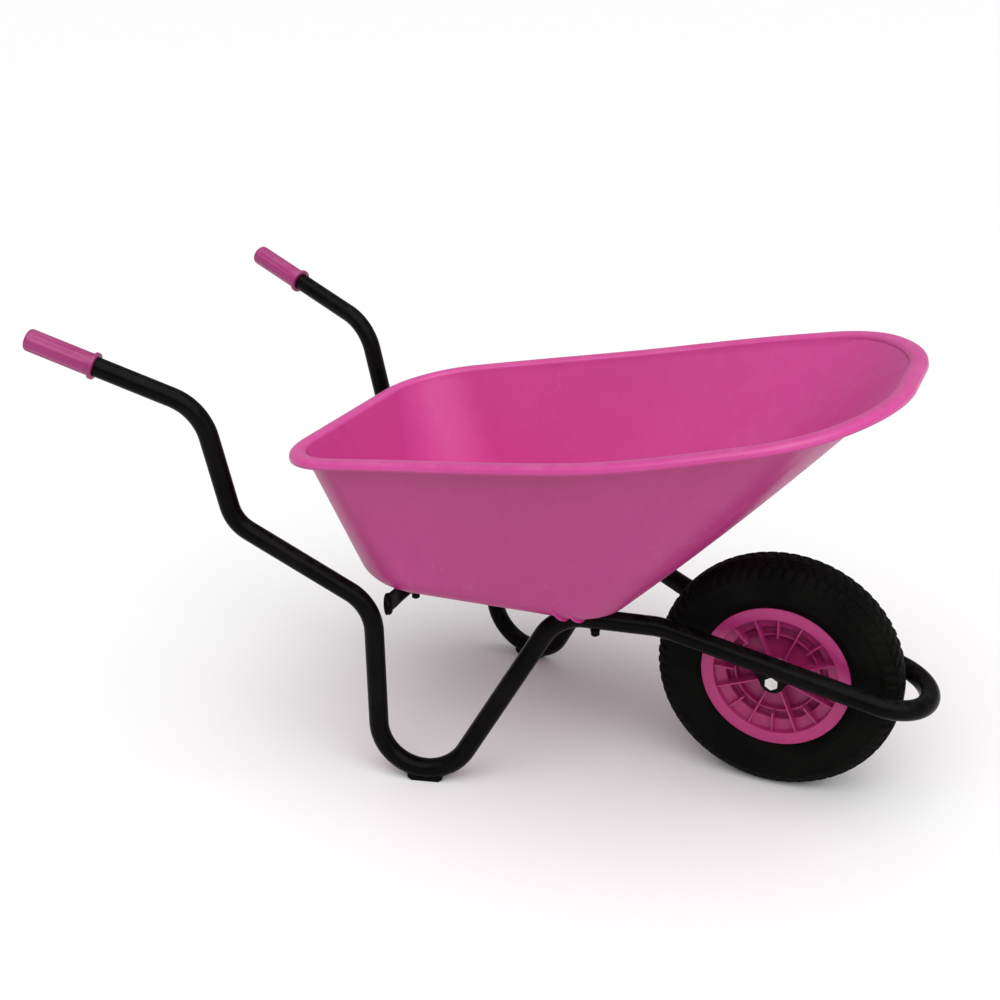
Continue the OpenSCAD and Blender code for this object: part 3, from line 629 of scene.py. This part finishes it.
def tyreSkinPoints():
    # r = middle + H sin(s)^p, w = W cos(s)^p for s from one bead over the crown to the other, less the
    # tread's grooves
    t = tyre
    cols, rows = t["pitches"] * 11, 84
    s = np.radians(np.linspace(-t["bead"], 180 + t["bead"], rows))[:, None]
    a = 2 * np.pi * np.arange(cols)[None] / cols
    power = lambda v: np.sign(v) * np.abs(v) ** t["power"]
    height = t["outer"] - t["middle"]
    r = t["middle"] + height * power(np.sin(s))
    w = t["halfWidth"] * power(np.cos(s))
    # across runs from -1 to 1 between the feet of the two shoulders, through 0 at the crown
    across = (s - np.pi / 2) / np.radians(72)
    turn = a * t["pitches"] / (2 * np.pi)
    tooth = lambda shift, width: 1 - smooth(width, width + t["edge"], np.abs((turn + shift) % 1 - 0.5))
    side = np.abs(across)
    stagger = np.where(across > 0, 0.0, 0.5)
    bars = tooth(stagger + 0.10 * np.sin(side * 4), 0.13)
    bars = bars * smooth(0.50, 0.56, side) * (1 - smooth(0.86, 0.98, side))
    blocks = tooth(stagger + 0.5 + (side - 0.36) * 1.2, 0.10)
    blocks = blocks * smooth(0.17, 0.2, side) * (1 - smooth(0.44, 0.47, side))
    sipes = tooth(across * 2.2, 0.07) * (1 - smooth(0.13, 0.16, side)) * 0.7
    zigzag = 0.035 * np.abs((turn * 1.0 + stagger) % 1 * 2 - 1)
    outerRing = 1 - smooth(0.016, 0.034, np.abs(side - 0.475 - zigzag))
    innerRing = 1 - smooth(0.014, 0.03, np.abs(side - 0.155 - zigzag))
    rings = outerRing + innerRing
    ditch = np.clip(np.maximum(np.maximum(bars, blocks), np.maximum(sipes, rings)), 0, 1)
    # the sidewall: a step below the shoulder, a raised decoration ring and a rib beside the rim
    step = 1.6 * mm * smooth(1.02, 1.07, side)

    def ring(at, wide, high):
        # high between at - wide and at + wide, with eased edges
        rise = smooth(at - wide, at - wide * 0.6, side)
        return high * (rise * (1 - smooth(at + wide * 0.6, at + wide, side)))

    cut = t["grooveDepth"] * ditch + step - ring(1.24, 0.035, 1.0 * mm) - ring(1.52, 0.03, 1.2 * mm)
    dr, dw = np.gradient(np.broadcast_to(r, (rows, 1))[:, 0]), np.gradient(w[:, 0])
    n = unit(np.stack([-dw, dr], -1))
    around, across = np.zeros_like(a), np.zeros_like(s)
    return aboutAxle(r + around - cut * n[:, :1], w + around - cut * n[:, 1:], a + across)


def tyreInside(cols):
    # the casing's inner side, closed down to the bead seats
    t = tyre
    s = np.radians(np.linspace(180 + 30, -30, 18))[:, None]
    power = lambda v: np.sign(v) * np.abs(v) ** t["power"]
    r = t["middle"] + (t["outer"] - t["middle"] - t["casing"]) * power(np.sin(s))
    w = (t["halfWidth"] - t["casing"]) * power(np.cos(s))
    beadR = np.array([[119.5], [101.8], [101.8]]) * mm
    beadW = np.array([[27.8], [27.5], [19.5]]) * mm
    r = np.concatenate([beadR, r, beadR[::-1]])
    w = np.concatenate([-beadW, w, beadW[::-1]])
    a = 2 * np.pi * np.arange(cols)[None] / cols
    return aboutAxle(r + 0 * a, w + 0 * a, a + 0 * r)


print("tyre")
casing = Surfaces()
tread = tyreSkinPoints()
casing.grid(np.concatenate([tread, tyreInside(tread.shape[1])]), aroundRows=True)
casing.piece("tyreCasing", "wheel", "tyre_rubber", tyreSkin, ["tyre"], 50)

rim = {
    "flange": 119, "half": 31, "flangeThick": 3, "face": 98.8, "faceDepth": 12, "seat": 101.5, "well": 85.5,
    "barrel": 4, "step": 65.5, "stepHigh": 14.9, "web": 5, "hub": 16.1, "hubHalf": 38, "bore": 8.6,
    "longRibs": 8, "ribThick": 3.0,
}


def roundedProfile(corners, steps=5):
    # corners are (radius, along, rounding) in mm, rounded by arcs and closed
    pts = []
    n = len(corners)
    for i in range(n):
        a, b, c = (np.array(corners[k % n][:2], float) for k in (i - 1, i, i + 1))
        r = corners[i][2]
        d, e = unit(b - a), unit(c - b)
        turn = np.arccos(np.clip(d @ e, -1, 1))
        if r <= 0 or turn < 0.05:
            pts.append(b[None])
            continue
        cut = r * np.tan(turn / 2)
        inward = unit(e - (e @ d) * d)
        centre = b - d * cut + r * inward
        s = np.linspace(0, turn, steps)[:, None]
        pts.append(centre + r * (-np.cos(s) * inward + np.sin(s) * d))
    return np.concatenate(pts) * mm


def rimProfile():
    r = rim
    web, well, half = r["web"] / 2, r["well"], r["half"]
    wellHalf = half - 17
    outside = [(r["bore"], r["hubHalf"], 0.8), (r["hub"], r["hubHalf"], 1.0),
               (r["hub"] + 2, web + 2, 2), (r["hub"] + 5, web, 2),
               (r["step"], web, 1.2), (r["step"], r["stepHigh"], 0.8),
               (r["step"] + 3, r["stepHigh"], 0.8), (r["step"] + 3, web, 1.2),
               (well - r["barrel"], web, 1.5), (well - r["barrel"], wellHalf + 2, 1.5),
               (r["face"], half - r["faceDepth"], 2.0),
               (r["face"], half, 1.2), (r["flange"], half, 1.4), (r["flange"], half - r["flangeThick"], 1.0),
               (r["seat"], half - r["flangeThick"], 1.0), (r["seat"], half - 11, 1.0), (well, wellHalf, 2.0)]
    other = [(a, -b, c) for a, b, c in outside[::-1]]
    return roundedProfile(outside + other)


def ribBlock(surfaces, angle, r0, r1, halfHeight, thick, top=0.5 * mm):
    # a flat bar between two radii, with its long edges chamfered by top
    edge = np.array([[-1, -1], [1, -1], [1, 1], [-1, 1]], float)
    h, t = halfHeight, thick / 2
    ring = np.array([[-t, -h + top], [-t + top, -h], [t - top, -h], [t, -h + top],
                     [t, h - top], [t - top, h], [-t + top, h], [-t, h - top]])
    ends = []
    for r in (r0, r1):
        across = np.array([-np.sin(angle), 0, np.cos(angle)])
        outward = np.array([np.cos(angle), 0, np.sin(angle)])
        ends.append(hub + r * outward + ring[:, :1] * across + ring[:, 1:] * np.array([0, 1, 0]))
    surfaces.rod(np.stack(ends))


print("rim")
disc = Surfaces()
profile = rimProfile()
a = 2 * np.pi * np.arange(180) / 180
disc.grid(aboutAxle(profile[:, :1] + 0 * a, profile[:, 1:] + 0 * a, a + 0 * profile[:, :1]), aroundRows=True)
for i in range(rim["longRibs"]):
    turn = 2 * np.pi * i / rim["longRibs"]
    outerEnd, high, thick = (rim["face"] + 1) * mm, (rim["half"] - 3) * mm, rim["ribThick"] * mm
    ribBlock(disc, turn + np.pi / rim["longRibs"], (rim["hub"] - 1) * mm, outerEnd, high, thick)
    ribBlock(disc, turn, (rim["step"] + 1) * mm, outerEnd, high, thick)
disc.piece("wheelDisc", "wheel", "rim_plastic", rimPink, ["wheel_rim"], 30)

stay = {
    "frame_paint": framePaint, "black_steel": framePaint, "zinc_steel": zinc,
    "bush_nylon": nylon, "tube_rubber": butyl,
    "valve_rubber": valveBlack, "cap_plastic": valveBlack, "grip_plastic": gripPink,
    "rim_plastic": rimPink, "tray_plastic": trayPink, "tyre_rubber": tyreSkin,
}
for part in frame["record"]["subparts"]:
    body = frame["nodes"][part["node"]]
    for slot in body.material_slots:
        slot.material = stay[part["material_slot"]]
print("finishes given")

studio = {
    "floor": (0.88, 0.88, 0.88), "floorHalf": 90.0, "world": 0.37,
    "sun": (0.25, -0.42, 1.0), "sunStrength": 2.85, "sunSize": 75,
    "side": (2.6, -0.9, 1.5, 1.6, 6),
    "eye": (828.749, -1941.7, 1275.2), "azimuth": 23.96, "elevation": 22.19, "roll": -0.95,
    "focal": 1380.35, "sensor": 36.0, "shiftY": 0.0025,
}
reach = studio["floorHalf"]
floorMesh = bpy.data.meshes.new("floor")
floorCorners = [(-reach, -reach, 0), (reach, -reach, 0), (reach, reach, 0), (-reach, reach, 0)]
floorMesh.from_pydata(floorCorners, [], [(0, 1, 2, 3)])
floorObject = bpy.data.objects.new("floor", floorMesh)
bpy.context.scene.collection.objects.link(floorObject)
floorFinish = Finish("floorPaint", Specular_IOR_Level=0.2, Roughness=0.7)
paper = rgba(*studio["floor"])
dimPaper = rgba(*(0.99 * v for v in studio["floor"]))
floorFinish.feed(Base_Color=floorFinish.blend(floorFinish.noise(2.0), paper, dimPaper))
floorMesh.materials.append(floorFinish.material)

world = bpy.data.worlds.new("studio")
bpy.context.scene.world = world
world.use_nodes = True
world.node_tree.nodes["Background"].inputs[0].default_value = (1, 1, 1, 1)
world.node_tree.nodes["Background"].inputs[1].default_value = studio["world"]


def place(item, name, axes, at):
    # puts a lamp or camera at a point, with its local X, Y and Z along the three axes
    holder = bpy.data.objects.new(name, item)
    bpy.context.scene.collection.objects.link(holder)
    holder.matrix_world = Matrix([[*row, p] for row, p in zip(np.stack(axes, 1), at)] + [[0, 0, 0, 1]])
    return holder


def facingFrom(v):
    # axes whose Z points from the target back to the light
    away = unit(np.array(v, float))
    beside = unit(np.cross([0, 1.0, 0.01], away))
    return beside, np.cross(away, beside), away


sun = bpy.data.lights.new("sun", "SUN")
sun.energy, sun.angle = studio["sunStrength"], np.radians(studio["sunSize"])
place(sun, "sun", facingFrom(studio["sun"]), (0, 0, 4))
x, y, z, size, power = studio["side"]
lamp = bpy.data.lights.new("side", "AREA")
lamp.shape, lamp.size, lamp.energy = "DISK", size, power
place(lamp, "side", facingFrom(np.array([x, y, z]) - np.array([0.1, 0, 0.35])), (x, y, z))

az, el, roll = (np.radians(studio[k]) for k in ("azimuth", "elevation", "roll"))
back = np.array([np.sin(az) * np.cos(el), -np.cos(az) * np.cos(el), np.sin(el)])
right = np.array([np.cos(az), np.sin(az), 0])
above = np.cross(back, right)
right, above = right * np.cos(roll) + above * np.sin(roll), above * np.cos(roll) - right * np.sin(roll)
lens = bpy.data.cameras.new("camera")
lens.sensor_width = studio["sensor"]
lens.lens = studio["focal"] * studio["sensor"] / 1000
lens.shift_y = studio["shiftY"]
eye = np.array(studio["eye"]) * mm
bpy.context.scene.camera = place(lens, "camera", (right, above, back), eye)
bpy.context.scene.view_settings.view_transform = "Standard"
print("floor, light and camera set")
